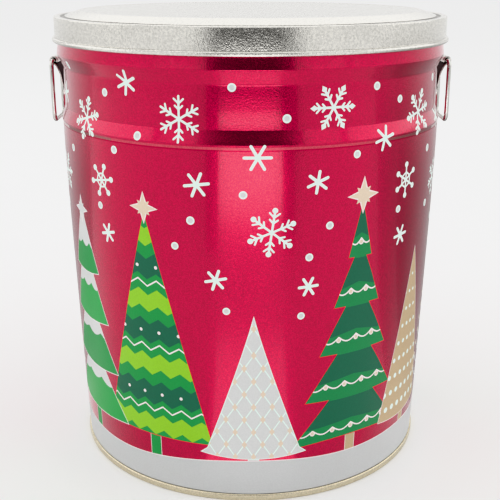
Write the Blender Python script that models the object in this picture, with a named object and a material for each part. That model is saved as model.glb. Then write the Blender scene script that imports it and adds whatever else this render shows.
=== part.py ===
"""A round metal popcorn tin, shut: a printed wall, a slip lid, a seamed bottom and two drop handles.

Metres, +Z up. The origin is the middle of the base, the front faces -Y and the handles are at -X and +X.
The inside can't be seen, so the wall is one solid from the bottom to the lid.
"""
import math

import bmesh
import bpy

# Driving dimensions
HEIGHT = 0.2925
LID_CURL_RADIUS = 0.128
GAP = 0.0003
ROUND_STEPS = 72

# Lid
LID_WALL = 0.0013
LID_CURL_TUBE = 0.0015
LID_SKIRT_RADIUS = LID_CURL_RADIUS - 2 * LID_CURL_TUBE + LID_WALL
LID_SHOULDER_RADIUS = 0.1229
LID_SHOULDER_Z = HEIGHT - 0.0034
LID_SHOULDER_ROUND = 0.0007
LID_CURL_Z = LID_SHOULDER_Z - 0.0142
LID_VALLEY_OUTER_RADIUS = 0.1212
LID_VALLEY_INNER_RADIUS = 0.1202
LID_VALLEY_Z = HEIGHT - 0.0041
LID_CROWN_FOOT_RADIUS = 0.1192
LID_CROWN_FOOT_Z = HEIGHT - 0.0032
LID_CROWN_RADIUS = 0.1100
LID_CROWN_ROUND = 0.0060
LID_PANEL_RADIUS = 0.1040
LID_PANEL_DROP = 0.0002
LID_UNDER_EDGE_Z = HEIGHT - 0.0050
LID_UNDER_SLOPE_RADIUS = 0.1190
LID_UNDER_RADIUS = 0.1088
LID_UNDER_Z = HEIGHT - 0.0014
LID_UNDER_SLACK = 0.0002

# Wall, from the neck under the lid down to the bottom
NECK_RADIUS = LID_SKIRT_RADIUS - LID_WALL - GAP
NECK_TOP_Z = LID_UNDER_EDGE_Z - GAP
NECK_END_Z = 0.2725
COLLAR_RADIUS = 0.1256
COLLAR_Z = 0.2662
COLLAR_ROUND = 0.0020
SHOULDER_FOOT_RADIUS = 0.1219
SHOULDER_FOOT_Z = 0.2583
SHOULDER_FOOT_ROUND = 0.0035
BAND_HIGH = (0.1220, 0.2520)
BAND_RADIUS = 0.12205
BAND_Z = 0.2443
BAND_FOOT_RADIUS = 0.1220
BAND_FOOT_Z = 0.2335
BAND_FOOT_ROUND = 0.0018
RIDGE_RADIUS = 0.1243
RIDGE_Z = 0.2258
RIDGE_ROUND = 0.0011
GROOVE_RADIUS = 0.1239
GROOVE_Z = 0.2232
GROOVE_ROUND = 0.0006
TAPER_HIGH = (0.1239, 0.2120)
TAPER_MIDDLE = (0.1230, 0.1690)
TAPER_LOW = (0.1208, 0.0970)
TAPER_FOOT_RADIUS = 0.1175

# Bottom end
SEAM_RADIUS = 0.1184
SEAM_HEIGHT = 0.0042
SEAM_ROUND = 0.0008
FOOT_WIDTH = 0.0032
FOOT_SLOPE = 0.0008
BOTTOM_SHEET = 0.0012
BOTTOM_STEP_RADIUS = 0.0940
BOTTOM_STEP = 0.0008
BOTTOM_STEP_SLOPE = 0.0012

# Handles: a ring of round wire that hangs from a rolled ear
HANDLE_X = 0.1288
HINGE_Z = 0.2600
WIRE_RADIUS = 0.0014
HANDLE_WIDTH = 0.0316
HANDLE_DROP = 0.0382
HANDLE_TOP_CORNER = 0.0032
HANDLE_FOOT_CORNER = 0.0052

# Ears: a strap looped round the ring's top bar, with a wide foot welded to the wall
EAR_SHEET = 0.0010
EAR_PLAY = 0.00035
EAR_ROLL_RADIUS = WIRE_RADIUS + EAR_PLAY + EAR_SHEET / 2
EAR_ROLL_START = -80
EAR_ROLL_END = 210
EAR_NECK_HALF_WIDTH = 0.0090
EAR_FOOT_HALF_WIDTH = 0.0140
EAR_FOOT_Z = 0.2385
EAR_FOOT_TOP_Z = 0.2430
EAR_RISE = [(0.1238, 0.2470), (0.1246, 0.2505), (0.1260, 0.2540), (0.1271, 0.2562), (0.1280, 0.2573)]
EAR_NECK_Z = 0.2540


def clear_scene():
    for old in list(bpy.data.objects):
        bpy.data.objects.remove(old, do_unlink=True)


def make_material(name, colour, roughness, metallic):
    material = bpy.data.materials.new(name)
    material.use_nodes = True
    shader = material.node_tree.nodes["Principled BSDF"]
    shader.inputs["Base Color"].default_value = (*colour, 1.0)
    shader.inputs["Roughness"].default_value = roughness
    shader.inputs["Metallic"].default_value = metallic
    return material


def add_object(name, data, material, location=(0, 0, 0)):
    data.materials.append(material)
    piece = bpy.data.objects.new(name, data)
    piece.location = location
    bpy.context.scene.collection.objects.link(piece)
    return piece


def arc(centre, radius, start, end, steps):
    """Points on a circle of the outline's plane, from start to end in degrees."""
    points = []
    for i in range(steps + 1):
        angle = math.radians(start + (end - start) * i / steps)
        points.append((centre[0] + radius * math.cos(angle), centre[1] + radius * math.sin(angle)))
    return points


def rounded(before, corner, after, radius, steps):
    """The corner between two straight lines of an outline, rounded by an arc that touches both."""
    to_before = (before[0] - corner[0], before[1] - corner[1])
    to_after = (after[0] - corner[0], after[1] - corner[1])
    angle_before = math.atan2(to_before[1], to_before[0])
    angle_after = math.atan2(to_after[1], to_after[0])
    turn = (angle_after - angle_before + math.pi) % (2 * math.pi) - math.pi
    half = abs(turn) / 2
    middle = angle_before + turn / 2
    reach = radius / math.sin(half)
    centre = (corner[0] + reach * math.cos(middle), corner[1] + reach * math.sin(middle))
    sweep = math.pi - abs(turn)
    back = middle + math.pi
    side = -1 if turn > 0 else 1
    start = math.degrees(back - side * sweep / 2)
    end = math.degrees(back + side * sweep / 2)
    return arc(centre, radius, start, end, steps)


def rounded_outline(corners):
    """An outline through corners (r, z, round, steps); a corner with no round stays sharp."""
    points = []
    last = len(corners) - 1
    for i, (r, z, radius, steps) in enumerate(corners):
        if radius == 0 or i in (0, last):
            points.append((r, z))
        else:
            points += rounded(corners[i - 1][:2], (r, z), corners[i + 1][:2], radius, steps)
    return points


def turned_solid(name, outline, material):
    """Spins an outline that starts and ends on the Z axis into a closed round solid."""
    shape = bmesh.new()
    verts = [shape.verts.new((r, 0, z)) for r, z in outline]
    edges = [shape.edges.new(pair) for pair in zip(verts, verts[1:])]
    bmesh.ops.spin(shape, geom=verts + edges, cent=(0, 0, 0), axis=(0, 0, 1),
                   angle=2 * math.pi, steps=ROUND_STEPS, use_merge=True)
    bmesh.ops.remove_doubles(shape, verts=shape.verts, dist=1e-6)
    bmesh.ops.recalc_face_normals(shape, faces=shape.faces)
    mesh = bpy.data.meshes.new(name)
    shape.to_mesh(mesh)
    shape.free()
    mesh.shade_smooth()
    mesh.set_sharp_from_angle(angle=math.radians(40))
    return add_object(name, mesh, material)


def build_wall(material):
    top_z = LID_UNDER_Z - GAP
    foot_z = SEAM_HEIGHT + GAP
    corners = [
        (0, top_z, 0, 0),
        (LID_UNDER_RADIUS - LID_UNDER_SLACK, top_z, 0, 0),
        (LID_UNDER_SLOPE_RADIUS - LID_UNDER_SLACK, NECK_TOP_Z, 0, 0),
        (NECK_RADIUS, NECK_TOP_Z, 0, 0),
        (NECK_RADIUS, NECK_END_Z, 0, 0),
        (COLLAR_RADIUS, COLLAR_Z, COLLAR_ROUND, 3),
        (SHOULDER_FOOT_RADIUS, SHOULDER_FOOT_Z, SHOULDER_FOOT_ROUND, 4),
        (*BAND_HIGH, 0, 0),
        (BAND_RADIUS, BAND_Z, 0, 0),
        (BAND_FOOT_RADIUS, BAND_FOOT_Z, BAND_FOOT_ROUND, 3),
        (RIDGE_RADIUS, RIDGE_Z, RIDGE_ROUND, 3),
        (GROOVE_RADIUS, GROOVE_Z, GROOVE_ROUND, 2),
        (*TAPER_HIGH, 0, 0),
        (*TAPER_MIDDLE, 0, 0),
        (*TAPER_LOW, 0, 0),
        (TAPER_FOOT_RADIUS, foot_z, 0, 0),
        (0, foot_z, 0, 0),
    ]
    return turned_solid("tin_wall", rounded_outline(corners), material)


def build_lid(material):
    """A skirt, a rolled shoulder, a narrow valley, and a low crown that slopes up to the flat top."""
    panel_z = HEIGHT - LID_PANEL_DROP
    inner = LID_SKIRT_RADIUS - LID_WALL
    curl_centre = (inner + LID_CURL_TUBE, LID_CURL_Z)
    top = rounded_outline([
        (0, panel_z, 0, 0),
        (LID_PANEL_RADIUS, panel_z, 0, 0),
        (LID_CROWN_RADIUS, HEIGHT, LID_CROWN_ROUND, 3),
        (LID_CROWN_FOOT_RADIUS, LID_CROWN_FOOT_Z, 0, 0),
        (LID_VALLEY_INNER_RADIUS, LID_VALLEY_Z, 0, 0),
        (LID_VALLEY_OUTER_RADIUS, LID_VALLEY_Z, 0, 0),
        (LID_SHOULDER_RADIUS, LID_SHOULDER_Z, 0, 0),
        (LID_SKIRT_RADIUS, LID_SHOULDER_Z, LID_SHOULDER_ROUND, 2),
        (LID_SKIRT_RADIUS, LID_CURL_Z, 0, 0),
    ])[:-1]
    curl = arc(curl_centre, LID_CURL_TUBE, 98, -180, 8)
    inside = [
        (inner, LID_UNDER_EDGE_Z),
        (LID_UNDER_SLOPE_RADIUS, LID_UNDER_EDGE_Z),
        (LID_UNDER_RADIUS, LID_UNDER_Z),
        (0, LID_UNDER_Z),
    ]
    return turned_solid("lid", top + curl + inside, material)


def build_bottom(material):
    inner = SEAM_RADIUS - FOOT_WIDTH
    recess_z = SEAM_HEIGHT - BOTTOM_SHEET
    corners = [
        (0, SEAM_HEIGHT, 0, 0),
        (SEAM_RADIUS, SEAM_HEIGHT, SEAM_ROUND, 2),
        (SEAM_RADIUS, 0, SEAM_ROUND, 2),
        (inner, 0, SEAM_ROUND / 2, 1),
        (inner - FOOT_SLOPE, recess_z, 0, 0),
        (BOTTOM_STEP_RADIUS, recess_z, 0, 0),
        (BOTTOM_STEP_RADIUS - BOTTOM_STEP_SLOPE, recess_z - BOTTOM_STEP, 0, 0),
        (0, recess_z - BOTTOM_STEP, 0, 0),
    ]
    return turned_solid("bottom_end", rounded_outline(corners), material)


def ring_route():
    """The wire ring's centre line: a rounded rectangle that hangs from the middle of its top bar."""
    half = HANDLE_WIDTH / 2
    top = HANDLE_TOP_CORNER
    foot = HANDLE_FOOT_CORNER
    steps = 5
    points = arc((half - top, -top), top, 90, 0, steps)
    points += arc((half - foot, foot - HANDLE_DROP), foot, 0, -90, steps)
    points += arc((foot - half, foot - HANDLE_DROP), foot, -90, -180, steps)
    points += arc((top - half, -top), top, 180, 90, steps)
    return points


def build_handle(name, side, material):
    """A ring of wire, with its origin on the axis of its top bar."""
    route = ring_route()
    curve = bpy.data.curves.new(name, "CURVE")
    curve.dimensions = "3D"
    curve.bevel_depth = WIRE_RADIUS
    curve.bevel_resolution = 3
    spline = curve.splines.new("POLY")
    spline.points.add(len(route) - 1)
    for point, (y, z) in zip(spline.points, route):
        point.co = (0, y, z, 1)
    spline.use_cyclic_u = True
    spline.use_smooth = True
    return add_object(name, curve, material, (side * HANDLE_X, 0, HINGE_Z))


def ear_route():
    """The strap's middle line as (x, z, half width), from its foot up and round the ring's top bar."""
    foot_x = BAND_RADIUS + GAP + EAR_SHEET / 2
    roll = arc((HANDLE_X, HINGE_Z), EAR_ROLL_RADIUS, EAR_ROLL_START, EAR_ROLL_END, 14)
    route = []
    for x, z in [(foot_x, EAR_FOOT_Z), (foot_x, EAR_FOOT_TOP_Z)] + EAR_RISE:
        share = min(max((z - EAR_FOOT_TOP_Z) / (EAR_NECK_Z - EAR_FOOT_TOP_Z), 0), 1)
        narrowing = share * share * (3 - 2 * share)
        width = EAR_FOOT_HALF_WIDTH + (EAR_NECK_HALF_WIDTH - EAR_FOOT_HALF_WIDTH) * narrowing
        route.append((x, z, width))
    return route + [(x, z, EAR_NECK_HALF_WIDTH) for x, z in roll]


def build_ear(name, side, material):
    """A strap of sheet: its foot follows the round wall, and its top is rolled straight."""
    across = 6
    shape = bmesh.new()
    rows = []
    for x, z, width in ear_route():
        bend = min(max((HINGE_Z - EAR_ROLL_RADIUS - z) / (HINGE_Z - EAR_FOOT_TOP_Z - EAR_ROLL_RADIUS), 0), 1)
        row = []
        for j in range(across + 1):
            y = width * (2 * j / across - 1)
            sink = bend * (BAND_RADIUS - math.sqrt(BAND_RADIUS ** 2 - y ** 2))
            row.append(shape.verts.new((side * (x - sink), y, z)))
        rows.append(row)
    for low, high in zip(rows, rows[1:]):
        for j in range(across):
            shape.faces.new((low[j], low[j + 1], high[j + 1], high[j]))
    mesh = bpy.data.meshes.new(name)
    shape.to_mesh(mesh)
    shape.free()
    mesh.shade_smooth()
    piece = add_object(name, mesh, material)
    sheet = piece.modifiers.new("sheet", "SOLIDIFY")
    sheet.thickness = EAR_SHEET
    sheet.offset = 0
    sheet.use_even_offset = True
    return piece


def main():
    clear_scene()
    printed = make_material("printed_tinplate", (0.55, 0.02, 0.12), 0.30, 0.85)
    steel = make_material("lid_tinplate", (0.72, 0.71, 0.68), 0.30, 1.0)
    wire = make_material("handle_wire", (0.70, 0.70, 0.69), 0.22, 1.0)
    build_wall(printed)
    build_lid(steel)
    build_bottom(steel)
    for word, side in (("left", -1), ("right", 1)):
        build_ear("ear_" + word, side, steel)
        build_handle("handle_" + word, side, wire)


main()
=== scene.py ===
"""The looks of a shut metal popcorn tin: printed wall, tinplate lid, seamed foot and two drop handles.

Metres, +Z up, and the front of the tin faces -Y. The print is drawn on a flat sheet in millimetres, cut up
into triangles along every edge of the drawing, and wrapped round the wall, so each ink is a field of faces.
"""

import math

import bmesh
import bpy
import numpy as np
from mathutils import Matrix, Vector, geometry


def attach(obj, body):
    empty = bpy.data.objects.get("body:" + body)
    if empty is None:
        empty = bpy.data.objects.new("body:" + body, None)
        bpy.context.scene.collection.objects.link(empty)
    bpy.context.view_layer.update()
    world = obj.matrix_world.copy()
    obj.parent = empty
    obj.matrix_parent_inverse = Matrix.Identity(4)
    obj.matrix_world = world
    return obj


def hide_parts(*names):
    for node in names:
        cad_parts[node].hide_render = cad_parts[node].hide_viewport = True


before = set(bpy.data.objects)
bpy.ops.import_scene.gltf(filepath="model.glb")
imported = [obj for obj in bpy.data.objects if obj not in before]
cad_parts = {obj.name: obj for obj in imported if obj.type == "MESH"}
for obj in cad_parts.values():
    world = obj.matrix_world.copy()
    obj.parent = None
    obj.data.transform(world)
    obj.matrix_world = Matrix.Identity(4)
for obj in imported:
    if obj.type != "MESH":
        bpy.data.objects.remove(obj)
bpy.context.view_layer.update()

MM = 0.001

# Camera, fitted to the rims, the ridge and the foot
CAMERA_PLACE = (0.0, -0.6112, 0.3206)
CAMERA_PITCH = 17.57
CAMERA_LENS = 65.23
CAMERA_SHIFT_X = -0.0007

# Wall outline: radius, height, rounding and steps, from the foot up
FOOT_Z = 0.0045
NECK_TOP_Z = 0.2872
NECK_RADIUS = 0.1247
BAND_RADIUS = 0.12205
WALL_CORNERS = [
    (0.1175, FOOT_Z, 0, 0),
    (0.1208, 0.0970, 8.0, 6),
    (0.1230, 0.1690, 3.6, 6),
    (0.1239, 0.2120, 0.80, 5),
    (0.1239, 0.2232, 0.0006, 4),
    (0.1243, 0.2258, 0.0011, 6),
    (0.1220, 0.2335, 0.0018, 5),
    (0.12205, 0.2443, 0.30, 5),
    (0.1220, 0.2520, 0.50, 5),
    (0.1219, 0.2583, 0.0035, 8),
    (0.1256, 0.2662, 0.0020, 6),
    (NECK_RADIUS, 0.2725, 0.0004, 2),
    (NECK_RADIUS, NECK_TOP_Z, 0, 0),
]
WALL_COLUMNS = 240
WALL_ROW_STEP = 0.006

# Lid
HEIGHT = 0.2925
LID_SKIRT_RADIUS = 0.1263
LID_WALL = 0.0013
LID_SHOULDER_Z = 0.2891
LID_CURL_TUBE = 0.0015
LID_CURL_Z = 0.2749
LID_PANEL_Z = 0.2923
LID_PANEL_RADIUS = 0.1040
LID_CROWN = [
    (0.1100, HEIGHT, 0.0060, 10),
    (0.1192, 0.2893, 0.0005, 5),
    (0.1200, 0.2881, 0.0002, 4),
    (0.1211, 0.2881, 0.0003, 4),
    (0.1225, LID_SHOULDER_Z, 0.0010, 6),
    (LID_SKIRT_RADIUS, LID_SHOULDER_Z, 0.0007, 8),
]
# Faces down in the lid's valley, by radius and height, that take a darker tinplate as painted shade
LID_VALLEY_SHADE_RADII = (0.1195, 0.1219)
LID_VALLEY_SHADE_HEIGHTS = (0.2880, 0.2888)
LID_UNDERSIDE = [(0.1250, 0.2875), (0.1190, 0.2875), (0.1088, 0.2911), (0, 0.2911)]
LID_STEPS = 288

# Foot
SEAM_RADIUS = 0.1184
SEAM_HEIGHT = 0.0042
SEAM_WIDTH = 0.0032
SEAM_ROUND = 0.0008
SEAM_INNER_ROUND = 0.0004
SEAM_INNER_LEAN = 0.0008
FOOT_STEP_HIGH = (0.0940, 0.0030)
FOOT_STEP_LOW = (0.0928, 0.0022)

# Handles and ears
HANDLE_X = 0.1288
HINGE_Z = 0.2600
WIRE_RADIUS = 0.0014
WIRE_SIDES = 20
HANDLE_WIDTH = 0.0316
HANDLE_DROP = 0.0382
HANDLE_TOP_CORNER = 0.0032
HANDLE_FOOT_CORNER = 0.0052
HANDLE_CORNER_STEPS = 12
EAR_SHEET = 0.0010
EAR_ROLL_RADIUS = 0.00225
EAR_NECK_HALF_WIDTH = 0.0090
EAR_FOOT_HALF_WIDTH = 0.0140
EAR_FOOT_Z = 0.2385
EAR_FOOT_TOP_Z = 0.2430
EAR_RISE = [(0.1238, 0.2470), (0.1246, 0.2505), (0.1260, 0.2540), (0.1271, 0.2562), (0.1280, 0.2573)]
EAR_NECK_Z = 0.2540
EAR_GAP = 0.0003
EAR_COLUMNS = 20
EAR_EDGE_ROUND = 0.00018

# Print sheet: millimetres round the wall at this radius, and up
SHEET_RADIUS = 122.0
SHEET_HALF = math.pi * SHEET_RADIUS

# Widths of the thin line of ink round a tree, and round its trunk and star
TREE_EDGE = 0.45
PALE_TREE_EDGE = 0.5
SMALL_EDGE = 0.35


# Outlines

def arc(centre, radius, start, end, steps):
    """Points along an arc between two angles in degrees."""
    points = []
    for i in range(steps + 1):
        angle = math.radians(start + (end - start) * i / steps)
        points.append((centre[0] + radius * math.cos(angle), centre[1] + radius * math.sin(angle)))
    return points


def rounded(before, corner, after, radius, steps):
    """The corner between two straight lines, rounded by an arc that touches both."""
    to_before = (before[0] - corner[0], before[1] - corner[1])
    to_after = (after[0] - corner[0], after[1] - corner[1])
    angle_before = math.atan2(to_before[1], to_before[0])
    angle_after = math.atan2(to_after[1], to_after[0])
    turn = (angle_after - angle_before + math.pi) % (2 * math.pi) - math.pi
    middle = angle_before + turn / 2
    reach = radius / math.sin(abs(turn) / 2)
    centre = (corner[0] + reach * math.cos(middle), corner[1] + reach * math.sin(middle))
    half_sweep = (math.pi - abs(turn)) / 2
    side = -1 if turn > 0 else 1
    back = middle + math.pi
    return arc(centre, radius, math.degrees(back - side * half_sweep),
               math.degrees(back + side * half_sweep), steps)


def rounded_outline(corners):
    """Points through corners of (radius, height, rounding, steps), each rounded where it says so."""
    points = []
    for i, (r, z, radius, steps) in enumerate(corners):
        if radius == 0:
            points.append((r, z))
        else:
            points += rounded(corners[i - 1][:2], (r, z), corners[i + 1][:2], radius, steps)
    return points


WALL_OUTLINE = np.array(rounded_outline(WALL_CORNERS))


def wall_radius(z):
    return np.interp(z, WALL_OUTLINE[:, 1], WALL_OUTLINE[:, 0])


def wall_slope(z):
    """How fast the radius grows with height, smoothed over the rounded corners."""
    step = 0.00012
    return (wall_radius(np.asarray(z) + step) - wall_radius(np.asarray(z) - step)) / (2 * step)


# The print: flat shapes, later ones over earlier ones, each kept inside the shape it names

def turned_area(points):
    """Twice the area inside an outline, positive where it runs anticlockwise."""
    return sum(a[0] * b[1] - b[0] * a[1] for a, b in zip(points, points[1:] + points[:1]))


class Sheet:
    """The drawing: a list of closed shapes, each with its ink."""

    def __init__(self):
        self.shapes = []

    def add(self, points, ink, inside=None):
        """Adds a closed shape of (across, up) points in millimetres and returns its number."""
        if turned_area(points) < 0:
            points = points[::-1]
        self.shapes.append((points, ink, inside))
        return len(self.shapes) - 1

    def disc(self, x, y, radius, ink, inside=None, steps=18):
        points = [(x + px, y + py) for px, py in arc((0, 0), radius, 0, 360, steps)[:-1]]
        return self.add(points, ink, inside)

    def bar(self, start, end, width, ink, inside=None, steps=4):
        """A straight stroke with round ends."""
        angle = math.degrees(math.atan2(end[1] - start[1], end[0] - start[0]))
        points = arc(end, width / 2, angle - 90, angle + 90, steps)
        points += arc(start, width / 2, angle + 90, angle + 270, steps)
        return self.add(points, ink, inside)

    def line(self, route, width, ink, inside=None):
        """A bent stroke along the points of a route."""
        for start, end in zip(route, route[1:]):
            self.bar(start, end, width, ink, inside, 3)


def grown(points, by):
    """An outline moved outwards by a small distance."""
    side = 1 if turned_area(points) > 0 else -1
    moved = []
    count = len(points)
    for i, point in enumerate(points):
        before = Vector(point) - Vector(points[i - 1])
        after = Vector(points[(i + 1) % count]) - Vector(point)
        before.normalize()
        after.normalize()
        normal = Vector((before.y + after.y, -before.x - after.x)) * side
        if normal.length < 1e-6:
            moved.append(tuple(point))
            continue
        normal.normalize()
        lean = max(normal.dot(Vector((before.y, -before.x)) * side), 0.4)
        moved.append((point[0] + normal.x * by / lean, point[1] + normal.y * by / lean))
    return moved


def star(x, y, outer, inner, points, turn):
    outline = []
    for i in range(points * 2):
        radius = outer if i % 2 == 0 else inner
        angle = math.radians(turn + 180 * i / points)
        outline.append((x + radius * math.cos(angle), y + radius * math.sin(angle)))
    return outline


def tiered_outline(x, foot, tip, half_width, tiers, notch, droop):
    """A fir's outline: tiers that widen downwards, each with a lower edge that droops."""
    height = tip - foot
    right = []
    for i in range(tiers):
        top = tip - height * i / tiers
        low = tip - height * (i + 1) / tiers
        inner = 0 if i == 0 else half_width * i / tiers * notch
        outer = half_width * (i + 1) / tiers
        right.append((inner, top - (0 if i == 0 else droop)))
        right.append(((inner + outer) * 0.46, top - (top - low) * 0.5))
        right.append((outer, low - droop))
    lower = [(half_width * k / 4, foot - droop * (k / 4) ** 2) for k in (3, 2, 1, 0, -1, -2, -3)]
    outline = [(x + px, py) for px, py in right]
    outline += [(x + px, py) for px, py in lower]
    outline += [(x - px, py) for px, py in reversed(right[1:])]
    return outline


def soft_outline(x, foot, tip, half_width, steps=24):
    """A slender tree whose sides flare a little, with rounded corners and a bowed lower edge."""
    flare = 0.88
    right = []
    for i in range(steps + 1):
        share = i / steps
        right.append((half_width * share ** 1.12 * flare, tip - (tip - foot - 5) * share))
    lower = []
    for k in range(10, -11, -1):
        share = k / 10
        lower.append((half_width * share, foot + 2 - 3.4 * (1 - share * share)))
    outline = [(x + px, py) for px, py in right]
    outline += [(x + px, py) for px, py in lower]
    outline += [(x - px, py) for px, py in reversed(right[1:])]
    return outline


def trunk(sheet, x, foot, width, ink, edge):
    outline = [(x - width / 2, foot - 15), (x + width / 2, foot - 15),
               (x + width / 2, foot + 4), (x - width / 2, foot + 4)]
    sheet.add(grown(outline, SMALL_EDGE), edge)
    sheet.add(outline, ink)


def topper(sheet, x, y, size, ink):
    sheet.add(grown(star(x, y, size, size * 0.36, 4, 90), SMALL_EDGE), "shine")
    sheet.add(star(x, y, size * 0.66, size * 0.30, 4, 45), ink)
    sheet.add(star(x, y, size, size * 0.30, 4, 90), ink)


def garland_fir(sheet, x, foot, tip, half_width):
    """Dark green, with beaded garlands that swag across the tiers."""
    trunk(sheet, x, foot, 7.0, "tan", "shine")
    outline = tiered_outline(x, foot, tip, half_width, 5, 0.52, 3.2)
    sheet.add(grown(outline, TREE_EDGE), "scarlet")
    body = sheet.add(outline, "pine")
    height = tip - foot
    for i in range(5):
        low = tip - height * (i + 1) / 5
        span = half_width * (i + 1) / 5
        shade = [(x - span, low - 4), (x + span, low - 4), (x + span, low + height * 0.045),
                 (x, low + height * 0.075), (x - span, low + height * 0.045)]
        sheet.add(shade, "fern", body)
    for i in range(1, 6):
        y = tip - height * (i - 0.26) / 5
        span = half_width * i / 5
        swags = i + 1
        route = []
        for k in range(swags * 8 + 1):
            share = k / 8
            px = x - span + 2 * span * k / (swags * 8)
            route.append((px, y - 3.4 * math.sin(math.pi * (share % 1.0)) + px * 0.02 - x * 0.02))
        sheet.line(route, 0.9, "shine", body)
        for k in range(1, swags):
            px = x - span + 2 * span * k / swags
            sheet.disc(px, y - 2.2, 1.75, "shine", body, 14)
            sheet.disc(px, y - 2.2, 1.15, "beige", body, 12)
    topper(sheet, x, tip + 3.5, 10.5, "beige")


def diamond_tree(sheet, x, foot, tip, half_width):
    """Silver and slender with soft corners, with a lattice and a small diamond in each cell."""
    trunk(sheet, x, foot, 6.4, "silver", "mint")
    outline = soft_outline(x, foot, tip, half_width)
    sheet.add(grown(outline, PALE_TREE_EDGE), "mint")
    body = sheet.add(outline, "silver")
    pitch = 11.5
    count = int((tip - foot) / pitch) + 3
    for i in range(-count, count):
        for lean in (-1, 1):
            start = (x - 60, foot + i * pitch * 1.5 - lean * 90)
            end = (x + 60, foot + i * pitch * 1.5 + lean * 90)
            sheet.bar(start, end, 0.7, "mint", body, 1)
    for row in range(2 * count):
        y = foot + row * pitch * 0.75
        for k in range(-3, 4):
            px = x + (k + 0.5 * (row % 2)) * pitch
            sheet.add([(px - 1.7, y), (px, y - 2.6), (px + 1.7, y), (px, y + 2.6)], "beige", body)


def zigzag_tree(sheet, x, foot, tip, half_width):
    """A plain cone in bands of lime and green between zigzag lines."""
    trunk(sheet, x, foot, 7.6, "leaf", "shine")
    outline = [(x - half_width, foot), (x + half_width, foot), (x, tip)]
    sheet.add(grown(outline, TREE_EDGE), "scarlet")
    body = sheet.add(outline, "leaf")
    height = tip - foot
    bands = 7
    teeth = 6
    for i in range(bands):
        low = foot + height * i / bands
        depth = height / bands
        route = []
        for k in range(2 * teeth + 1):
            px = x - half_width + half_width * k / teeth
            route.append((px, low + (4.2 if k % 2 else 0.0)))
        if i % 2 == 0:
            upper = [(px, py + depth * 0.52) for px, py in route]
            sheet.add(route + upper[::-1], "lime", body)
            sheet.line([(px, py + depth * 0.80) for px, py in route], 0.9, "shine", body)
        else:
            upper = [(px, py + depth * 0.62) for px, py in route]
            sheet.add(route + upper[::-1], "pine", body)
            for k in range(1, 2 * teeth, 2):
                px, py = route[k]
                sheet.disc(px, py + depth * 0.20, 1.1, "shine", body, 10)
    topper(sheet, x, tip + 2.5, 9.0, "beige")


def dotted_cone(sheet, x, foot, tip, half_width):
    """Tan, with round dots in rows that shrink towards the tip."""
    trunk(sheet, x, foot, 6.0, "tan", "mint")
    outline = [(x - half_width, foot)]
    outline += [(x + half_width * k / 6, foot - 2.4 * (1 - (k / 6) ** 2)) for k in range(-5, 6)]
    outline += [(x + half_width, foot), (x, tip)]
    sheet.add(grown(outline, TREE_EDGE), "shine")
    body = sheet.add(outline, "tan")
    height = tip - foot
    rows = 9
    for row in range(rows):
        share = row / rows
        y = foot + height * (0.06 + 0.88 * share)
        radius = 2.0 - 1.1 * share
        for k in range(-6, 7):
            px = x + (k + 0.5 * (row % 2)) * (7.4 - 2.4 * share)
            sheet.disc(px, y, radius, "mint", body, 12)


def snowy_fir(sheet, x, foot, tip, half_width):
    """Bright green tiers, each capped with snow that hangs in soft lobes."""
    trunk(sheet, x, foot, 7.0, "leaf", "shine")
    tiers = 4
    height = tip - foot
    overlap = height * 0.10
    for i in reversed(range(tiers)):
        low = tip - height * (i + 1) / tiers
        top = low + height / tiers + overlap * (1 if i else 0) + (0 if i else overlap * 0.2)
        span = half_width * (0.46 + 0.54 * i / (tiers - 1))
        outline = [(x - span, low), (x - span * 0.5, low - 1.6), (x, low - 2.2),
                   (x + span * 0.5, low - 1.6), (x + span, low), (x, top + height * 0.05)]
        sheet.add(grown(outline, TREE_EDGE), "shine")
        body = sheet.add(outline, "green" if i % 2 else "leaf")
        cap = [(x, top + height * 0.06)]
        edge = []
        for k in range(25):
            share = k / 24
            px = x + span * 0.74 * (2 * share - 1)
            lobe = abs(math.sin(math.pi * (2.5 + 0.5 * (i % 2)) * share))
            edge.append((px, low + (top - low) * 0.52 - 4.0 * lobe * (0.6 + 0.4 * share)))
        cap += [(x - span, low + (top - low) * 0.50)] + edge + [(x + span, low + (top - low) * 0.50)]
        sheet.add(cap, "silver", body)
    topper(sheet, x, tip + height * 0.05, 8.6, "silver")


def bough_tree(sheet, x, foot, tip, half_width):
    """A bare stem with pairs of upswept boughs and a berry on each tip."""
    sheet.bar((x, foot - 12), (x, tip), 1.9, "silver")
    height = tip - foot
    pairs = 9
    for i in range(pairs):
        share = i / pairs
        y = foot + height * (0.05 + 0.86 * share)
        span = half_width * (1 - share) ** 0.85
        for side in (-1, 1):
            route = []
            for k in range(8):
                t = k / 7
                route.append((x + side * span * t, y + span * (0.10 * t + 0.52 * t * t)))
            sheet.line(route, 1.3 - 0.4 * share, "silver")
            sheet.disc(route[-1][0], route[-1][1], 1.9 - 0.7 * share, "beige", None, 12)
            if span > 9:
                mid = route[4]
                sheet.bar(mid, (mid[0] + side * 0.6, mid[1] + span * 0.22), 0.9, "silver")
    topper(sheet, x, tip + 3.0, 8.0, "beige")


def branched_flake(sheet, x, y, radius, turn, ends):
    """Six arms, each with two pairs of side branches; the ends are plain, or dots, or diamonds."""
    for arm in range(6):
        angle = math.radians(turn + 60 * arm)
        along = Vector((math.cos(angle), math.sin(angle)))
        tip = Vector((x, y)) + along * radius
        sheet.bar((x, y), tuple(tip), 1.35, "mint")
        for share, length in ((0.42, 0.24), (0.68, 0.30)):
            root = Vector((x, y)) + along * radius * share
            for side in (-1, 1):
                lean = angle + side * math.radians(48)
                end = root + Vector((math.cos(lean), math.sin(lean))) * radius * length
                sheet.bar(tuple(root), tuple(end), 1.15, "mint", None, 3)
        if ends == "dots":
            sheet.disc(tip.x, tip.y, 1.7, "mint", None, 12)
        if ends == "diamonds":
            across = Vector((-along.y, along.x))
            points = [tip + along * 2.4, tip + across * 1.7, tip - along * 2.4, tip - across * 1.7]
            sheet.add([tuple(p) for p in points], "mint")


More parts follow.
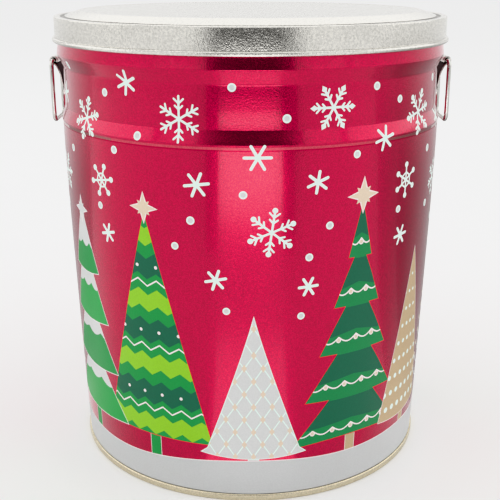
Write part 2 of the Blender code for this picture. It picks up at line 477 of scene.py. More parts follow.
def wheel_flake(sheet, x, y, radius, turn):
    """Six plain arms through a small ring."""
    for arm in range(6):
        angle = math.radians(turn + 60 * arm)
        tip = (x + radius * math.cos(angle), y + radius * math.sin(angle))
        sheet.bar((x, y), tip, 1.3, "mint")
        sheet.disc(tip[0], tip[1], 1.8, "mint", None, 12)
    ring = [(x + px, y + py) for px, py in arc((0, 0), radius * 0.50, turn, turn + 360, 6)]
    for start, end in zip(ring, ring[1:]):
        sheet.bar(start, end, 1.1, "mint", None, 3)


def spark_flake(sheet, x, y, radius, turn):
    """A small plain flake of three crossed strokes."""
    for arm in range(3):
        angle = math.radians(turn + 60 * arm)
        dx = radius * math.cos(angle)
        dy = radius * math.sin(angle)
        sheet.bar((x - dx, y - dy), (x + dx, y + dy), 1.8, "mint")


def snow_dot(sheet, x, y, radius):
    sheet.disc(x, y, radius, "mint")
    sheet.disc(x, y, radius * 0.62, "silver", None, 14)


def snow_height(x):
    """The top of the snow, in gentle drifts that meet at the back."""
    turn = x / SHEET_RADIUS
    return 25.0 + 2.6 * math.sin(2 * turn + 0.7) + 1.3 * math.sin(5 * turn + 2.0)


def snow_band(sheet):
    columns = 240
    top = []
    for i in range(columns + 1):
        x = -SHEET_HALF + 2 * SHEET_HALF * i / columns
        top.append((x, snow_height(x)))
    low = FOOT_Z / MM
    for lift, ink in ((0.5, "shine"), (0.0, "snow")):
        edge = [(x, y + lift) for x, y in top]
        sheet.add([(-SHEET_HALF, low), (SHEET_HALF, low)] + edge[::-1], ink)


TREES = [
    (snowy_fir, -126, 38, 168, 38),
    (zigzag_tree, -64, 38, 184, 40),
    (diamond_tree, 2, 31, 124, 33),
    (garland_fir, 68, 38, 190, 42),
    (dotted_cone, 124, 36, 150, 30),
    (bough_tree, 168, 38, 142, 23),
    (snowy_fir, 218, 38, 170, 37),
    (diamond_tree, 276, 33, 138, 33),
    (zigzag_tree, 336, 38, 172, 37),
    (dotted_cone, -346, 36, 150, 31),
    (garland_fir, -292, 40, 184, 40),
    (diamond_tree, -234, 34, 132, 31),
    (bough_tree, -184, 38, 152, 25),
]

BIG_FLAKES = [
    (-112, 233, 11.8, 15, "dots"), (-40, 239, 12.6, 30, "plain"), (47, 245, 11.6, 0, "diamonds"),
    (118, 236, 12.4, 12, "dots"), (12, 176, 13.0, 22, "dots"), (-152, 194, 11.2, 5, "diamonds"),
    (152, 190, 11.6, 20, "plain"), (190, 240, 12.2, 5, "diamonds"), (262, 234, 12.6, 20, "dots"),
    (334, 242, 11.8, 0, "plain"), (250, 176, 11.6, 8, "plain"), (-188, 240, 12.0, 10, "dots"),
    (-264, 236, 12.4, 25, "plain"), (-336, 232, 12.0, 12, "diamonds"), (-224, 178, 12.4, 0, "dots"),
]

WHEEL_FLAKES = [
    (-97, 198, 9.0, 10), (104, 197, 9.4, 30), (300, 202, 9.2, 0), (-322, 196, 9.0, 20), (-250, 206, 8.4, 5),
]

SPARK_FLAKES = [
    (-150, 244, 6.8, 10), (-74, 257, 6.6, 25), (4, 219, 7.4, 0), (82, 225, 6.8, 15),
    (153, 229, 6.6, 20), (-30, 203, 7.0, 8), (38, 204, 6.2, 22), (-20, 147, 6.0, 12),
    (34, 142, 5.6, 3), (-94, 166, 5.6, 14), (102, 163, 5.8, 6), (222, 206, 6.8, 12),
    (224, 256, 6.4, 0), (296, 250, 6.8, 15), (300, 166, 6.2, 8), (368, 206, 7.0, 22),
    (368, 250, 6.4, 5), (-222, 254, 6.6, 18), (-300, 254, 6.8, 3), (-372, 244, 6.6, 12),
    (-192, 204, 6.6, 25), (-254, 160, 6.0, 10), (-368, 196, 6.4, 20),
]

DOTS = [
    (-134, 262, 2.4), (-92, 250, 2.4), (-66, 228, 2.5), (-10, 257, 2.4), (20, 240, 2.5),
    (76, 255, 2.4), (96, 246, 2.3), (142, 254, 2.4), (-132, 212, 2.4), (-84, 218, 2.4),
    (-34, 182, 2.5), (-4, 198, 2.4), (46, 178, 2.4), (34, 160, 2.4), (-14, 128, 2.3),
    (30, 124, 2.3), (-100, 182, 2.3), (-160, 172, 2.4), (98, 180, 2.3), (132, 212, 2.4),
    (136, 176, 2.4), (62, 218, 2.4), (-44, 166, 2.3), (158, 162, 2.3), (168, 214, 2.4),
    (172, 258, 2.4), (206, 222, 2.4), (240, 246, 2.4), (240, 206, 2.4), (270, 196, 2.3),
    (280, 216, 2.4), (254, 152, 2.3), (306, 228, 2.4), (320, 262, 2.4), (318, 190, 2.3),
    (354, 224, 2.4), (352, 196, 2.3), (-376, 222, 2.4), (-350, 256, 2.4), (-352, 214, 2.4),
    (-308, 218, 2.4), (-280, 218, 2.3), (-284, 258, 2.4), (-240, 254, 2.4), (-238, 222, 2.4),
    (-212, 224, 2.4), (-204, 160, 2.4), (-208, 198, 2.3), (-262, 186, 2.3), (-320, 168, 2.4),
    (-374, 172, 2.4), (-166, 218, 2.4), (-172, 262, 2.4), (374, 176, 2.3), (294, 184, 2.3),
]


# The line under the ridge's nose where the ink is rubbed thin, paler to the sides as a painted highlight,
# and the crease below it, dark as painted shade: their heights, and the line's ink from place to place round
# the wall
RIDGE_LINE = (223.1, 224.7)
# The crease is drawn in a darker ink as painted shade
RIDGE_CREASE_SHADE = (222.4, 223.1)
RIDGE_WEAR_AND_HIGHLIGHT = [
    (-SHEET_HALF, -138, "worn_pale_highlight"), (-138, -86, "worn"), (-86, 86, "worn_rose"), (86, 138, "worn"),
    (138, SHEET_HALF, "worn_pale_highlight"),
]


def draw_print():
    sheet = Sheet()
    # The rubbed line, partly painted highlight, and the crease's painted shade
    for start, end, wear_and_highlight in RIDGE_WEAR_AND_HIGHLIGHT:
        for (low, high), ink in ((RIDGE_LINE, wear_and_highlight), (RIDGE_CREASE_SHADE, "crease_shade")):
            sheet.add([(start, low), (end, low), (end, high), (start, high)], ink)
    for x, y, radius, turn, ends in BIG_FLAKES:
        branched_flake(sheet, x, y, radius, turn, ends)
    for x, y, radius, turn in WHEEL_FLAKES:
        wheel_flake(sheet, x, y, radius, turn)
    for x, y, radius, turn in SPARK_FLAKES:
        spark_flake(sheet, x, y, radius, turn)
    for x, y, radius in DOTS:
        snow_dot(sheet, x, y, radius)
    for draw, x, foot, tip, half_width in sorted(TREES, key=lambda tree: -tree[3]):
        draw(sheet, x, foot, tip, half_width)
    snow_band(sheet)
    return sheet


# The wall

def wall_rows():
    """Heights of the mesh's rows, close together where the wall bends."""
    rows = [float(WALL_OUTLINE[0, 1])]
    for z in WALL_OUTLINE[1:, 1]:
        gap = z - rows[-1]
        if gap < 1e-5:
            continue
        start = rows[-1]
        count = max(1, math.ceil(gap / WALL_ROW_STEP))
        for i in range(1, count + 1):
            rows.append(float(start + gap * i / count))
    return rows


def cut_sheet(sheet):
    """Triangles of the flat sheet, cut off at its edge, each with the ink that shows there."""
    rows = [z / MM for z in wall_rows()]
    points = []
    edges = []
    count = len(rows)
    for i in range(WALL_COLUMNS + 1):
        x = -SHEET_HALF + 2 * SHEET_HALF * i / WALL_COLUMNS
        for j, y in enumerate(rows):
            points.append(Vector((x, y)))
            here = i * count + j
            if j < count - 1:
                edges.append((here, here + 1))
            if i < WALL_COLUMNS:
                edges.append((here, here + count))
    last = WALL_COLUMNS * count
    faces = [[0, last, last + count - 1, count - 1]]
    for outline, _, _ in sheet.shapes:
        first = len(points)
        points += [Vector(p) for p in outline]
        faces.append(list(range(first, len(points))))
    found = geometry.delaunay_2d_cdt(points, edges, faces, 0, 1e-4, True)
    triangles = []
    inks = []
    for corners, sources in zip(found[2], found[5]):
        if 0 not in sources:
            continue
        held = {number - 1 for number in sources if number}
        ink = "ground"
        for number in sorted(held, reverse=True):
            inside = sheet.shapes[number][2]
            if inside is None or inside in held:
                ink = sheet.shapes[number][1]
                break
        triangles.append(corners)
        inks.append(ink)
    return found[0], triangles, inks


def build_wall(inks):
    verts, triangles, names = cut_sheet(draw_print())
    flat = np.array([tuple(v) for v in verts])
    angle = flat[:, 0] / SHEET_RADIUS
    z = flat[:, 1] * MM
    radius = wall_radius(z)
    places = np.stack([radius * np.sin(angle), -radius * np.cos(angle), z], axis=1)
    slots = list(inks)
    shape = bmesh.new()
    made = [shape.verts.new(p) for p in places]
    for corners, name in zip(triangles, names):
        face = shape.faces.new([made[i] for i in corners])
        face.material_index = slots.index(name)
    loose = [v for v in shape.verts if not v.link_faces]
    bmesh.ops.delete(shape, geom=loose, context="VERTS")
    bmesh.ops.remove_doubles(shape, verts=shape.verts, dist=2e-6)
    bmesh.ops.dissolve_degenerate(shape, edges=shape.edges, dist=1e-7)
    for height in (WALL_OUTLINE[0, 1], WALL_OUTLINE[-1, 1]):
        loop = [e for e in shape.edges if e.is_boundary
                and abs(e.verts[0].co.z - height) < 1e-6 and abs(e.verts[1].co.z - height) < 1e-6]
        bmesh.ops.holes_fill(shape, edges=loop)
    bmesh.ops.recalc_face_normals(shape, faces=shape.faces)
    mesh = bpy.data.meshes.new("wall_print")
    shape.to_mesh(mesh)
    shape.free()
    set_wall_normals(mesh)
    wall = bpy.data.objects.new("wall_print", mesh)
    bpy.context.scene.collection.objects.link(wall)
    for ink in inks.values():
        mesh.materials.append(ink)
    return wall


def set_wall_normals(mesh):
    """Exact normals of the turned wall, so that its reflections run smoothly over every cut in the print."""
    places = np.zeros(len(mesh.vertices) * 3)
    mesh.vertices.foreach_get("co", places)
    places = places.reshape(-1, 3)
    slope = wall_slope(places[:, 2])
    radius = np.maximum(np.hypot(places[:, 0], places[:, 1]), 1e-9)
    normals = np.stack([places[:, 0] / radius, places[:, 1] / radius, -slope], axis=1)
    normals /= np.linalg.norm(normals, axis=1, keepdims=True)
    loops = []
    for face in mesh.polygons:
        flat = abs(face.normal.z) > 0.99
        for index in face.loop_indices:
            vertex = mesh.loops[index].vertex_index
            loops.append(tuple(face.normal) if flat else tuple(normals[vertex]))
    mesh.shade_smooth()
    mesh.normals_split_custom_set(loops)


# Turned pieces

def turned_piece(name, outline, steps, material):
    """Spins a closed outline that starts and ends on the axis."""
    shape = bmesh.new()
    verts = [shape.verts.new((r, 0, z)) for r, z in outline]
    edges = [shape.edges.new(pair) for pair in zip(verts, verts[1:])]
    bmesh.ops.spin(shape, geom=verts + edges, cent=(0, 0, 0), axis=(0, 0, 1),
                   angle=2 * math.pi, steps=steps, use_merge=True)
    bmesh.ops.remove_doubles(shape, verts=shape.verts, dist=1e-6)
    bmesh.ops.recalc_face_normals(shape, faces=shape.faces)
    mesh = bpy.data.meshes.new(name)
    shape.to_mesh(mesh)
    shape.free()
    mesh.shade_smooth()
    mesh.set_sharp_from_angle(angle=math.radians(35))
    mesh.materials.append(material)
    piece = bpy.data.objects.new(name, mesh)
    bpy.context.scene.collection.objects.link(piece)
    return piece


def build_lid(material, valley_shade_material):
    inner = LID_SKIRT_RADIUS - LID_WALL
    top = rounded_outline([
        (0, LID_PANEL_Z, 0, 0),
        (LID_PANEL_RADIUS, LID_PANEL_Z, 0, 0),
        *LID_CROWN,
        (LID_SKIRT_RADIUS, LID_CURL_Z, 0, 0),
    ])[:-1]
    curl = arc((inner + LID_CURL_TUBE, LID_CURL_Z), LID_CURL_TUBE, 98, -180, 20)
    panel = [(LID_PANEL_RADIUS * k / 12, LID_PANEL_Z) for k in range(12)]
    lid = turned_piece("lid_skin", panel + top[1:] + curl + LID_UNDERSIDE, LID_STEPS, material)
    lid.data.materials.append(valley_shade_material)
    # The valley's faces get the darker tinplate: painted shade in the groove
    near, far = LID_VALLEY_SHADE_RADII
    low, high = LID_VALLEY_SHADE_HEIGHTS
    for face in lid.data.polygons:
        if near < math.hypot(face.center.x, face.center.y) < far and low < face.center.z < high:
            face.material_index = 1
    return lid


def build_bottom(material):
    inner = SEAM_RADIUS - SEAM_WIDTH
    outline = rounded_outline([
        (0, SEAM_HEIGHT, 0, 0),
        (SEAM_RADIUS, SEAM_HEIGHT, SEAM_ROUND, 6),
        (SEAM_RADIUS, 0, SEAM_ROUND, 6),
        (inner, 0, SEAM_INNER_ROUND, 4),
        (inner - SEAM_INNER_LEAN, FOOT_STEP_HIGH[1], 0, 0),
        (*FOOT_STEP_HIGH, 0, 0),
        (*FOOT_STEP_LOW, 0, 0),
        (0, FOOT_STEP_LOW[1], 0, 0),
    ])
    return turned_piece("foot_seam", outline, LID_STEPS, material)


# Handles and ears

def ring_route():
    half = HANDLE_WIDTH / 2
    top = HANDLE_TOP_CORNER
    foot = HANDLE_FOOT_CORNER
    steps = HANDLE_CORNER_STEPS
    points = arc((half - top, -top), top, 90, 0, steps)
    points += arc((half - foot, foot - HANDLE_DROP), foot, 0, -90, steps)
    points += arc((foot - half, foot - HANDLE_DROP), foot, -90, -180, steps)
    points += arc((top - half, -top), top, 180, 90, steps)
    return points


def build_handle(name, side, material):
    """A closed ring of round wire in the plane across the tin's side."""
    route = ring_route()
    count = len(route)
    shape = bmesh.new()
    rings = []
    for i, (y, z) in enumerate(route):
        before = Vector(route[i - 1])
        after = Vector(route[(i + 1) % count])
        along = (after - before).normalized()
        normal = Vector((along.y, -along.x))
        ring = []
        for k in range(WIRE_SIDES):
            angle = 2 * math.pi * k / WIRE_SIDES
            out = WIRE_RADIUS * math.cos(angle)
            ring.append(shape.verts.new((side * HANDLE_X + WIRE_RADIUS * math.sin(angle),
                                         y + normal.x * out, HINGE_Z + z + normal.y * out)))
        rings.append(ring)
    for i, ring in enumerate(rings):
        other = rings[(i + 1) % count]
        for k in range(WIRE_SIDES):
            next_k = (k + 1) % WIRE_SIDES
            shape.faces.new((ring[k], ring[next_k], other[next_k], other[k]))
    bmesh.ops.recalc_face_normals(shape, faces=shape.faces)
    mesh = bpy.data.meshes.new(name)
    shape.to_mesh(mesh)
    shape.free()
    mesh.shade_smooth()
    mesh.materials.append(material)
    piece = bpy.data.objects.new(name, mesh)
    bpy.context.scene.collection.objects.link(piece)
    return piece


def ear_route():
    """The strap's middle line as (x, z, half width), from its foot up and round the ring's top bar."""
    foot_x = BAND_RADIUS + EAR_GAP + EAR_SHEET / 2
    roll = arc((HANDLE_X, HINGE_Z), EAR_ROLL_RADIUS, -80, 210, 40)
    bends = [(foot_x, EAR_FOOT_Z), (foot_x, EAR_FOOT_TOP_Z)] + EAR_RISE
    route = []
    for (x, z), (next_x, next_z) in zip(bends, bends[1:] + roll[:1]):
        for i in range(3):
            step_x = x + (next_x - x) * i / 3
            step_z = z + (next_z - z) * i / 3
            share = min(max((step_z - EAR_FOOT_TOP_Z) / (EAR_NECK_Z - EAR_FOOT_TOP_Z), 0), 1)
            narrowing = share * share * (3 - 2 * share)
            width = EAR_FOOT_HALF_WIDTH + (EAR_NECK_HALF_WIDTH - EAR_FOOT_HALF_WIDTH) * narrowing
            route.append((step_x, step_z, width))
    return route + [(x, z, EAR_NECK_HALF_WIDTH) for x, z in roll]


def build_ear(name, side, outside, inside):
    """A looped strap of sheet: bright outside, and painted shade inside, dark where the loop shuts out the
    light.
    """
    shape = bmesh.new()
    rows = []
    for x, z, width in ear_route():
        bend = min(max((HINGE_Z - EAR_ROLL_RADIUS - z) / (HINGE_Z - EAR_FOOT_TOP_Z - EAR_ROLL_RADIUS), 0), 1)
        row = []
        for j in range(EAR_COLUMNS + 1):
            y = width * (2 * j / EAR_COLUMNS - 1)
            sink = bend * (BAND_RADIUS - math.sqrt(BAND_RADIUS ** 2 - y ** 2))
            row.append(shape.verts.new((side * (x - sink), y, z)))
        rows.append(row)
    for low, high in zip(rows, rows[1:]):
        for j in range(EAR_COLUMNS):
            corners = (low[j], low[j + 1], high[j + 1], high[j])
            shape.faces.new(corners if side > 0 else corners[::-1])
    mesh = bpy.data.meshes.new(name)
    shape.to_mesh(mesh)
    shape.free()
    mesh.shade_smooth()
    mesh.materials.append(outside)
    mesh.materials.append(inside)
    piece = bpy.data.objects.new(name, mesh)
    bpy.context.scene.collection.objects.link(piece)
    sheet = piece.modifiers.new("sheet", "SOLIDIFY")
    sheet.thickness = EAR_SHEET
    sheet.offset = 0
    sheet.use_even_offset = True
    sheet.material_offset = 1
    bevel = piece.modifiers.new("edges", "BEVEL")
    bevel.width = EAR_EDGE_ROUND
    bevel.segments = 2
    bevel.limit_method = "ANGLE"
    return piece


# Materials

# Grain of the finishes, in cells to the metre, and the depth of its bumps in metres
INK_GRAIN = 1150
INK_BUMP = 0.00007
TINPLATE_MOTTLE = 820
TINPLATE_PEEL = 1250
TINPLATE_BUMP = 0.00011
VARNISH_ROUGHNESS = 0.10
VARNISH_IOR = 1.5
WIRE_COLOUR = (205, 204, 200)

# Inks: colour, metallic share, roughness, varnish and the strength of the grain
INKS = {
    # The rubbed line under the ridge: wear, with a painted highlight that makes it palest at the sides
    "worn_pale_highlight": ((240, 218, 216), 1.0, 0.30, 0.20, 0.10),
    "worn": ((160, 100, 102), 1.0, 0.30, 0.20, 0.14),
    "worn_rose": ((196, 84, 98), 1.0, 0.30, 0.20, 0.14),
    # Painted shade along the crease under the ridge
    "crease_shade": ((172, 4, 58), 1.0, 0.26, 0.20, 0.10),
    "ground": ((186, 10, 64), 1.0, 0.22, 0.80, 0.19),
    "mint": ((226, 242, 236), 0.0, 0.40, 0.05, 0.02),
    "shine": ((240, 230, 230), 0.0, 0.40, 0.05, 0.02),
    "silver": ((208, 209, 208), 0.0, 0.40, 0.05, 0.03),
    "snow": ((198, 199, 199), 0.0, 0.42, 0.05, 0.025),
    "beige": ((222, 204, 182), 0.0, 0.40, 0.05, 0.03),
    "tan": ((192, 168, 132), 0.0, 0.40, 0.05, 0.04),
    "scarlet": ((236, 10, 48), 0.0, 0.40, 0.05, 0.03),
    "pine": ((14, 98, 70), 0.0, 0.40, 0.05, 0.05),
    "fern": ((18, 132, 72), 0.0, 0.40, 0.05, 0.05),
    "green": ((28, 160, 70), 0.0, 0.40, 0.05, 0.05),
    "leaf": ((18, 146, 66), 0.0, 0.40, 0.05, 0.05),
    "lime": ((142, 200, 42), 0.0, 0.40, 0.05, 0.04),
}

# Bare metals: colour, roughness, strength of the orange peel and of the mottle
TINPLATES = {
    "lid_tinplate": ((213, 211, 205), 0.18, 0.80, 0.13),
    # A darker copy of the lid's tinplate: painted shade in the valley
    "lid_valley_painted_shade": ((138, 135, 130), 0.30, 0.30, 0.10),
    "foot_tinplate": ((214, 204, 180), 0.22, 0.35, 0.10),
    "ear_tinplate": ((214, 212, 208), 0.24, 0.25, 0.10),
    # The strap's dark inside is painted shade where the loop shuts out the light
    "ear_inside_painted_shade": ((38, 35, 36), 0.50, 0.25, 0.10),
}


def linear(colour):
    """Scene-linear values of an sRGB colour given in 0 to 255."""
    values = []
    for channel in colour:
        share = channel / 255
        values.append(share / 12.92 if share <= 0.04045 else ((share + 0.055) / 1.055) ** 2.4)
    return values


class Nodes:
    """A material's node tree, with the few nodes that every finish here uses."""

    def __init__(self, name):
        self.material = bpy.data.materials.new(name)
        self.material.use_nodes = True
        self.tree = self.material.node_tree
        self.shader = self.tree.nodes["Principled BSDF"]
        self.place = self.tree.nodes.new("ShaderNodeTexCoord").outputs["Object"]

    def link(self, source, target):
        self.tree.links.new(source, target)

    def noise(self, scale, detail=2.0, roughness=0.5, stretch=None):
        node = self.tree.nodes.new("ShaderNodeTexNoise")
        node.inputs["Scale"].default_value = scale
        node.inputs["Detail"].default_value = detail
        node.inputs["Roughness"].default_value = roughness
        source = self.place
        if stretch:
            mapping = self.tree.nodes.new("ShaderNodeMapping")
            mapping.inputs["Scale"].default_value = stretch
            self.link(source, mapping.inputs["Vector"])
            source = mapping.outputs["Vector"]
        self.link(source, node.inputs["Vector"])
        return node.outputs["Fac"]

    def span(self, source, low, high, start=0.3, end=0.7):
        node = self.tree.nodes.new("ShaderNodeMapRange")
        node.inputs["From Min"].default_value = start
        node.inputs["From Max"].default_value = end
        node.inputs["To Min"].default_value = low
        node.inputs["To Max"].default_value = high
        self.link(source, node.inputs["Value"])
        return node.outputs["Result"]

    def mix(self, factor, first, second):
        node = self.tree.nodes.new("ShaderNodeMix")
        node.data_type = "RGBA"
        node.inputs["A"].default_value = (*first, 1)
        node.inputs["B"].default_value = (*second, 1)
        self.link(factor, node.inputs["Factor"])
        return node.outputs["Result"]

    def bump(self, height, strength, distance, below=None):
        node = self.tree.nodes.new("ShaderNodeBump")
        node.inputs["Strength"].default_value = strength
        node.inputs["Distance"].default_value = distance
        self.link(height, node.inputs["Height"])
        if below is not None:
            self.link(below, node.inputs["Normal"])
        return node.outputs["Normal"]

    def put(self, **values):
        for name, value in values.items():
            socket = self.shader.inputs[name.replace("_", " ")]
            if isinstance(value, bpy.types.NodeSocket):
                self.link(value, socket)
            else:
                socket.default_value = value


def scaled(colour, share):
    return [min(channel * share, 1.0) for channel in colour]


def ink_finish(name, colour, metallic, roughness, coat, sparkle):
    """Lithographed ink on tinplate: fine grain in its colour and its surface, under a clear varnish."""
    nodes = Nodes(name)
    base = linear(colour)
    grain = nodes.span(nodes.noise(INK_GRAIN, 2.0, 0.6), 0.0, 1.0, 0.35, 0.65)
    nodes.put(Base_Color=nodes.mix(grain, scaled(base, 1 - sparkle), scaled(base, 1 + sparkle)))
    cloud = nodes.noise(38, 3.0, 0.55)
    nodes.put(Roughness=nodes.span(cloud, roughness - 0.03, roughness + 0.03))
    nodes.put(Normal=nodes.bump(nodes.noise(INK_GRAIN, 2.0, 0.55), 1.0, INK_BUMP))
    nodes.put(Metallic=metallic)
    nodes.shader.inputs["Coat Weight"].default_value = coat
    nodes.shader.inputs["Coat Roughness"].default_value = VARNISH_ROUGHNESS
    nodes.shader.inputs["Coat IOR"].default_value = VARNISH_IOR
    return nodes.material


def bare_tinplate(name):
    """Bare tinplate: a mottled orange peel."""
    colour, roughness, peel_strength, sparkle = TINPLATES[name]
    nodes = Nodes(name)
    base = linear(colour)
    mottle = nodes.span(nodes.noise(TINPLATE_MOTTLE, 2.0, 0.6), 0.0, 1.0, 0.36, 0.64)
    nodes.put(Base_Color=nodes.mix(mottle, scaled(base, 1 - sparkle), scaled(base, 1 + sparkle)))
    nodes.put(Metallic=1.0)
    nodes.put(Roughness=nodes.span(nodes.noise(420, 3.0, 0.6), roughness - 0.03, roughness + 0.03))
    nodes.put(Normal=nodes.bump(nodes.noise(TINPLATE_PEEL, 2.0, 0.5), peel_strength, TINPLATE_BUMP))
    return nodes.material


def wire_finish(name):
    """Drawn wire, with fine marks along it."""
    nodes = Nodes(name)
    base = linear(WIRE_COLOUR)
    nodes.put(Base_Color=nodes.mix(nodes.noise(300, 3.0, 0.6), scaled(base, 0.85), scaled(base, 1.08)))
    nodes.put(Metallic=1.0)
    nodes.put(Roughness=nodes.span(nodes.noise(500, 3.0, 0.6), 0.14, 0.26))
    nodes.put(Normal=nodes.bump(nodes.noise(600, 2.0, 0.5, (1.0, 1.0, 0.12)), 0.2, 0.00004))
    return nodes.material


# Studio

FLOOR_COLOUR = (244, 244, 244)
FLOOR_RADIUS = 9.0
SOFTBOX_PLACE = (2.15, 0.08, 1.15)
SOFTBOX_TARGET = (0, 0, 0.2)
SOFTBOX_WIDTH = 3.0
SOFTBOX_HEIGHT = 1.4
SOFTBOX_RADIANCE = 0.98

# Radiance of the walls and the ceiling, by the height that a direction points to
ROOM_LIGHT = [(0.0, 1.0), (0.16, 0.96), (0.30, 0.76), (0.42, 0.86), (0.62, 0.62), (0.76, 1.0), (0.88, 1.6),
              (1.0, 1.6)]

# Radiance of the cards, by the distance from the tin's foot in metres
FRONT_LIGHT = [(0.0, 1.9), (0.30, 1.7), (0.37, 1.15), (0.56, 1.14), (0.64, 1.5), (0.72, 2.4), (0.84, 3.1),
               (1.24, 3.2), (1.38, 3.2), (1.50, 2.7), (1.62, 2.0), (1.76, 1.1), (1.90, 0.88), (2.30, 0.74),
               (2.70, 0.30), (3.0, 0.15)]
FRONT_SHADE = [(0.0, 0.80), (0.5, 0.70), (1.15, 0.45), (1.35, 0.12), (3.0, 0.10)]
LEFT_SHADE = [(0.0, 0.55), (0.8, 0.60), (1.4, 0.85), (3.0, 0.90)]
RIGHT_SHADE = [(0.0, 0.45), (0.8, 0.50), (1.4, 0.70), (3.0, 0.75)]
BACK_LIGHT = [(0.0, 0.95), (3.2, 0.95), (3.6, 1.6), (8.0, 1.6)]
SIDE_SHADE = [(0.0, 0.70), (0.8, 0.72), (3.0, 0.90)]
LID_GUARD_LIGHT = [(0.0, 0.95), (8.0, 0.95)]
FRONT_GLOW = [(0.0, 1.4), (8.0, 1.4)]
FLAG_LIGHT = [(0.0, 0.09), (3.04, 0.09), (3.14, 0.06), (3.42, 0.06), (3.58, 0.5), (8.0, 0.6)]

# Upright cards: a glow behind the tin, a dark flag before it, a small card that keeps the flag off the lid,
# and the glow beside the flag, given here for the right
BACKDROP_CARD = [(-2.0, 3.0, 0.9), (1.5, 3.0, 0.9), (1.5, 3.0, 4.2), (-2.0, 3.0, 4.2)]
FLAG_CARD = [
    (-1.16, -3.0, 0.0), (1.14, -3.0, 0.0), (1.28, -3.0, 0.4), (1.34, -3.0, 0.7), (1.78, -3.0, 1.1),
    (1.78, -3.0, 2.1), (-1.75, -3.0, 2.1), (-1.75, -3.0, 1.1), (-1.32, -3.0, 0.7), (-1.26, -3.0, 0.4),
]
LID_GUARD_CARD = [(-0.26, -0.16, 0.294), (0.26, -0.16, 0.294), (0.26, -0.16, 0.52), (-0.26, -0.16, 0.52)]
FRONT_GLOW_CARD = [(1.00, -3.40, 0.60), (3.60, -2.60, 0.60), (3.60, -2.60, 2.3), (1.00, -3.40, 2.3)]

# Cards on the floor: the light they share, two directions in degrees from the front, and two distances
FLOOR_LIGHTS = {
    "bounce": FRONT_LIGHT,
    "shade": FRONT_SHADE,
    "shade_left": LEFT_SHADE,
    "shade_side": SIDE_SHADE,
    "shade_right": RIGHT_SHADE,
}
FLOOR_CARDS = [
    ("bounce_near", "bounce", -17.2, 17.4, 0.135, 1.30),
    ("bounce_far", "bounce", -17.6, 17.0, 1.301, 2.99),
    ("shade_front_left", "shade", -24.5, -17.7, 1.301, 2.99),
    ("shade_front_right", "shade", 17.1, 26, 1.301, 2.99),
    ("shade_near_left", "shade", -24, -17.3, 0.55, 1.30),
    ("shade_near_right", "shade", 17.5, 24, 0.55, 1.30),
    ("shade_left", "shade_left", -165, -105, 0.135, 3.0),
    ("shade_side", "shade_side", 76, 92, 0.135, 3.0),
    ("shade_right", "shade_right", 92.1, 165, 0.135, 3.0),
]
FLOOR_CARD_Z = 0.002
FLOOR_CARD_STEP = 5


def curve_of(tree, source, stops):
    """A node curve through stops of (input, value)."""
    reach = stops[-1][0]
    peak = max(value for _, value in stops)
    share = tree.nodes.new("ShaderNodeMath")
    share.operation = "DIVIDE"
    share.inputs[1].default_value = reach
    tree.links.new(source, share.inputs[0])
    curve = tree.nodes.new("ShaderNodeFloatCurve")
    tree.links.new(share.outputs["Value"], curve.inputs["Value"])
    line = curve.mapping.curves[0]
    line.points[0].location = (stops[0][0] / reach, stops[0][1] / peak)
    line.points[1].location = (1.0, stops[-1][1] / peak)
    for place, value in stops[1:-1]:
        line.points.new(place / reach, value / peak)
    for point in line.points:
        point.handle_type = "VECTOR"
    curve.mapping.update()
    scale = tree.nodes.new("ShaderNodeMath")
    scale.operation = "MULTIPLY"
    scale.inputs[1].default_value = peak
    tree.links.new(curve.outputs["Value"], scale.inputs[0])
    return scale.outputs["Value"]


def emission(name, stops):
    """A plain light whose strength follows the distance from the tin's foot."""
    material = bpy.data.materials.new(name)
    material.use_nodes = True
    tree = material.node_tree
    tree.nodes.clear()
    place = tree.nodes.new("ShaderNodeTexCoord").outputs["Object"]
    distance = tree.nodes.new("ShaderNodeVectorMath")
    distance.operation = "LENGTH"
    tree.links.new(place, distance.inputs[0])
    light = tree.nodes.new("ShaderNodeEmission")
    tree.links.new(curve_of(tree, distance.outputs["Value"], stops), light.inputs["Strength"])
    output = tree.nodes.new("ShaderNodeOutputMaterial")
    tree.links.new(light.outputs["Emission"], output.inputs["Surface"])
    return material


def sector(start, end, near, far):
    """Corners of a flat card on the floor, between two directions from the front and two distances."""
    steps = max(2, round(abs(end - start) / FLOOR_CARD_STEP))
    turns = [math.radians(start + (end - start) * i / steps) for i in range(steps + 1)]
    inner = [(near * math.sin(turn), -near * math.cos(turn), FLOOR_CARD_Z) for turn in turns]
    outer = [(far * math.sin(turn), -far * math.cos(turn), FLOOR_CARD_Z) for turn in reversed(turns)]
    return inner + outer


def flat_card(name, corners, material):
    """A card that shows only in reflections."""
    mesh = bpy.data.meshes.new(name)
    mesh.from_pydata(corners, [], [tuple(range(len(corners)))])
    mesh.materials.append(material)
    card = bpy.data.objects.new(name, mesh)
    bpy.context.scene.collection.objects.link(card)
    card.visible_camera = False
    card.visible_diffuse = False
    card.visible_shadow = False
    return card


def build_floor():
    nodes = Nodes("studio_floor")
    base = linear(FLOOR_COLOUR)
    nodes.put(Base_Color=nodes.mix(nodes.noise(14, 3.0, 0.5), scaled(base, 0.985), base))
    nodes.put(Roughness=0.9)
    nodes.shader.inputs["Specular IOR Level"].default_value = 0.1
    shape = bmesh.new()
    bmesh.ops.create_circle(shape, cap_ends=True, radius=FLOOR_RADIUS, segments=96)
    mesh = bpy.data.meshes.new("studio_floor")
    shape.to_mesh(mesh)
    shape.free()
    mesh.materials.append(nodes.material)
    floor = bpy.data.objects.new("studio_floor", mesh)
    bpy.context.scene.collection.objects.link(floor)


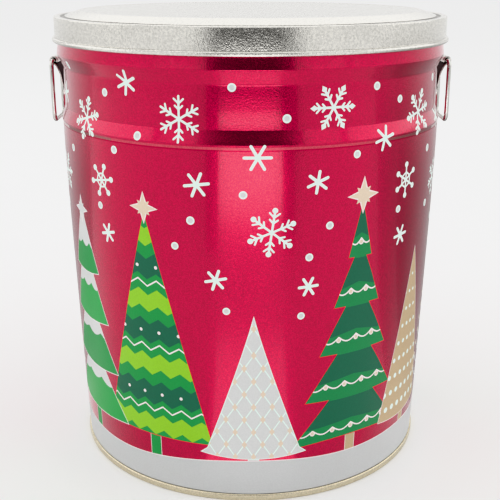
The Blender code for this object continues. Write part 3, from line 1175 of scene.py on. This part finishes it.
def softbox(name, side):
    light = bpy.data.lights.new(name, "AREA")
    light.shape = "RECTANGLE"
    light.size = SOFTBOX_WIDTH
    light.size_y = SOFTBOX_HEIGHT
    light.energy = SOFTBOX_RADIANCE * math.pi * SOFTBOX_WIDTH * SOFTBOX_HEIGHT
    place = Vector((side * SOFTBOX_PLACE[0], *SOFTBOX_PLACE[1:]))
    box = bpy.data.objects.new(name, light)
    box.location = place
    box.rotation_euler = (Vector(SOFTBOX_TARGET) - place).to_track_quat("-Z", "Y").to_euler()
    box.visible_camera = False
    bpy.context.scene.collection.objects.link(box)


def build_world():
    world = bpy.data.worlds.new("studio")
    world.use_nodes = True
    tree = world.node_tree
    split = tree.nodes.new("ShaderNodeSeparateXYZ")
    tree.links.new(tree.nodes.new("ShaderNodeTexCoord").outputs["Generated"], split.inputs["Vector"])
    back = tree.nodes["Background"]
    back.inputs["Color"].default_value = (1, 1, 1, 1)
    tree.links.new(curve_of(tree, split.outputs["Z"], ROOM_LIGHT), back.inputs["Strength"])
    return world


def build_studio():
    scene = bpy.context.scene
    scene.view_settings.view_transform = "Khronos PBR Neutral"
    scene.world = build_world()
    build_floor()
    softbox("softbox_left", -1)
    softbox("softbox_right", 1)
    flat_card("backdrop_glow", BACKDROP_CARD, emission("glow", BACK_LIGHT))
    flat_card("flag_front", FLAG_CARD, emission("flag", FLAG_LIGHT))
    flat_card("lid_guard", LID_GUARD_CARD, emission("guard", LID_GUARD_LIGHT))
    glow = emission("front_glow", FRONT_GLOW)
    for name, side in (("glow_front_left", -1), ("glow_front_right", 1)):
        flat_card(name, [(side * x, y, z) for x, y, z in FRONT_GLOW_CARD], glow)
    lights = {name: emission(name, stops) for name, stops in FLOOR_LIGHTS.items()}
    for name, light, start, end, near, far in FLOOR_CARDS:
        flat_card(name, sector(start, end, near, far), lights[light])


def build_camera():
    data = bpy.data.cameras.new("camera")
    data.sensor_width = 36.0
    data.lens = CAMERA_LENS
    data.shift_x = CAMERA_SHIFT_X
    data.clip_start = 0.01
    camera = bpy.data.objects.new("camera", data)
    camera.location = CAMERA_PLACE
    camera.rotation_euler = (math.radians(90 - CAMERA_PITCH), 0, 0)
    bpy.context.scene.collection.objects.link(camera)
    bpy.context.scene.camera = camera


def main():
    build_camera()
    build_studio()
    inks = {}
    for name, values in INKS.items():
        inks[name] = ink_finish("ink_" + name, *values)
    wall = build_wall(inks)
    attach(wall, "tin")
    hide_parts("tin_wall")
    lid = build_lid(bare_tinplate("lid_tinplate"), bare_tinplate("lid_valley_painted_shade"))
    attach(lid, "tin")
    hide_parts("lid")
    foot = build_bottom(bare_tinplate("foot_tinplate"))
    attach(foot, "tin")
    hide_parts("bottom_end")
    strap = bare_tinplate("ear_tinplate")
    # The ears' dark inside is painted shade
    shade = bare_tinplate("ear_inside_painted_shade")
    wire = wire_finish("handle_wire")
    for word, side in (("left", -1), ("right", 1)):
        ear = build_ear("ear_strap_" + word, side, strap, shade)
        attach(ear, "tin")
        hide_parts("ear_" + word)
        ring = build_handle("handle_ring_" + word, side, wire)
        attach(ring, word + "_handle")
        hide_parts("handle_" + word)


main()
